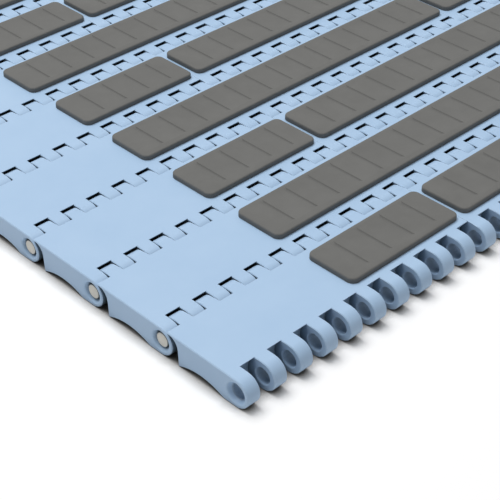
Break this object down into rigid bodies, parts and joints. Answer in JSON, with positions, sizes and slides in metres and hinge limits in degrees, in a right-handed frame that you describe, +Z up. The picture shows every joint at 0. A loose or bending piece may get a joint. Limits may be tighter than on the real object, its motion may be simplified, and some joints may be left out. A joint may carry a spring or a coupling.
{
  "type": "modular plastic belt",
  "caption": "Flat section of hinged plastic belt modules in brick pattern, with rubber friction pads and plastic hinge rods.",
  "frame": {"origin": "centre of the belt section's footprint, on the surface that the underside slides on", "axes": "+X across the belt along the hinge rods, away from the edge without rubber; +Y along the travel, from the row with free front eyes to the row with free rear eyes; +Z up, out of the carrying side"},
  "size_m": [0.2034, 0.2112, 0.0095],
  "materials": {
    "belt_plastic": "fine moulded satin",
    "pad_rubber": "matte moulded rubber",
    "rod_plastic": "cut extruded rod"
  },
  "bodies": {
    "row_0": {"row_0_left_module": "belt_plastic", "row_0_right_module": "belt_plastic", "row_0_left_pad": "pad_rubber", "row_0_right_pad": "pad_rubber"},
    "row_1": {"row_1_left_module": "belt_plastic", "row_1_right_module": "belt_plastic", "row_1_left_pad": "pad_rubber", "row_1_right_pad": "pad_rubber", "rod_1": "rod_plastic"},
    "row_2": {"row_2_left_module": "belt_plastic", "row_2_right_module": "belt_plastic", "row_2_left_pad": "pad_rubber", "row_2_right_pad": "pad_rubber", "rod_2": "rod_plastic"},
    "row_3": {"row_3_left_module": "belt_plastic", "row_3_right_module": "belt_plastic", "row_3_left_pad": "pad_rubber", "row_3_right_pad": "pad_rubber", "rod_3": "rod_plastic"},
    "row_4": {"row_4_left_module": "belt_plastic", "row_4_right_module": "belt_plastic", "row_4_left_pad": "pad_rubber", "row_4_right_pad": "pad_rubber", "rod_4": "rod_plastic"},
    "row_5": {"row_5_left_module": "belt_plastic", "row_5_right_module": "belt_plastic", "row_5_left_pad": "pad_rubber", "row_5_right_pad": "pad_rubber", "rod_5": "rod_plastic"},
    "row_6": {"row_6_left_module": "belt_plastic", "row_6_right_module": "belt_plastic", "row_6_left_pad": "pad_rubber", "row_6_right_pad": "pad_rubber", "rod_6": "rod_plastic"},
    "row_7": {"row_7_left_module": "belt_plastic", "row_7_right_module": "belt_plastic", "row_7_left_pad": "pad_rubber", "row_7_right_pad": "pad_rubber", "rod_7": "rod_plastic"}
  },
  "joints": [
    {"name": "hinge_1", "type": "hinge", "parent": "row_0", "child": "row_1", "pos_m": [0, -0.0762, 0.004], "axis": [-1, 0, 0], "range_deg": [-25, 40]},
    {"name": "hinge_2", "type": "hinge", "parent": "row_1", "child": "row_2", "pos_m": [0, -0.0508, 0.004], "axis": [-1, 0, 0], "range_deg": [-25, 40]},
    {"name": "hinge_3", "type": "hinge", "parent": "row_2", "child": "row_3", "pos_m": [0, -0.0254, 0.004], "axis": [-1, 0, 0], "range_deg": [-25, 40]},
    {"name": "hinge_4", "type": "hinge", "parent": "row_3", "child": "row_4", "pos_m": [0, 0, 0.004], "axis": [-1, 0, 0], "range_deg": [-25, 40]},
    {"name": "hinge_5", "type": "hinge", "parent": "row_4", "child": "row_5", "pos_m": [0, 0.0254, 0.004], "axis": [-1, 0, 0], "range_deg": [-25, 40]},
    {"name": "hinge_6", "type": "hinge", "parent": "row_5", "child": "row_6", "pos_m": [0, 0.0508, 0.004], "axis": [-1, 0, 0], "range_deg": [-25, 40]},
    {"name": "hinge_7", "type": "hinge", "parent": "row_6", "child": "row_7", "pos_m": [0, 0.0762, 0.004], "axis": [-1, 0, 0], "range_deg": [-25, 40]}
  ]
}
